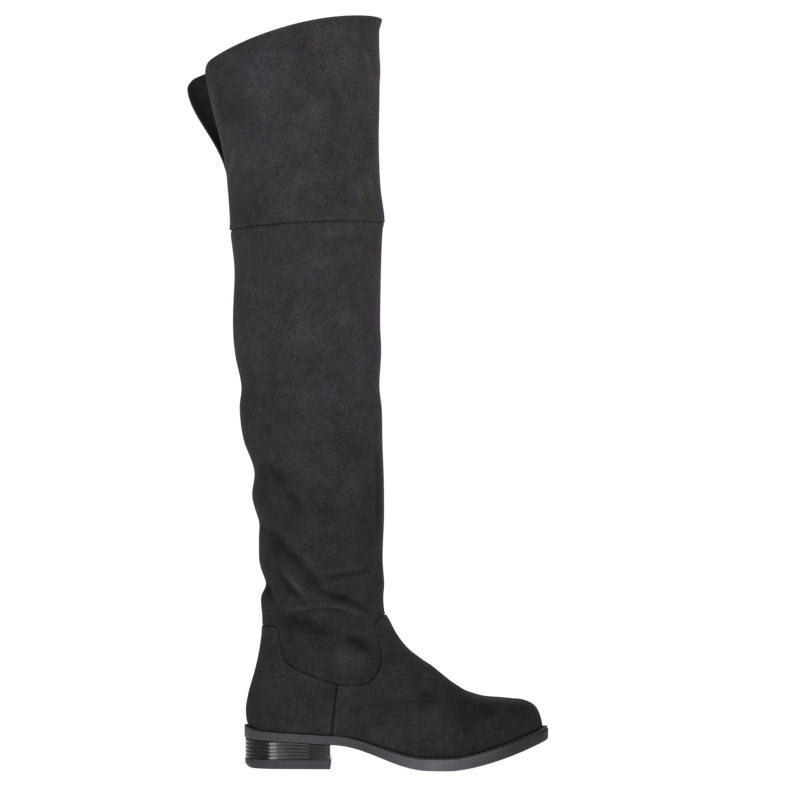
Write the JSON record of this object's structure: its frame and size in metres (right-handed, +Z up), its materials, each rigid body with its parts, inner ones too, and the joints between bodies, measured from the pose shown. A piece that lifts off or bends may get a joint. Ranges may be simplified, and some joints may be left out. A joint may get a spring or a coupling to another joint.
{
  "type": "over-the-knee boot",
  "caption": "Flat over-the-knee suede boot with a split thigh cuff, smooth shaft, low stacked heel, welted rubber sole and rounded toe, standing empty.",
  "frame": {"origin": "on the floor, at the middle of the heel's ground face", "axes": "+X towards the toe, +Z up the leg, -Y towards the outer side of the foot"},
  "size_m": [0.3229, 0.1258, 0.664],
  "materials": {
    "suede": "brushed black suede, matt",
    "insole_lining": "dark woven lining",
    "rubber": "matt dark grey",
    "stacked_heel": "polished dark stack"
  },
  "bodies": {
    "root": {"upper": "suede", "shaft": "suede", "thigh_cuff": "suede", "insole": "insole_lining", "outsole": "rubber", "welt": "rubber", "heel_block": "stacked_heel", "heel_lift": "rubber"}
  },
  "joints": []
}
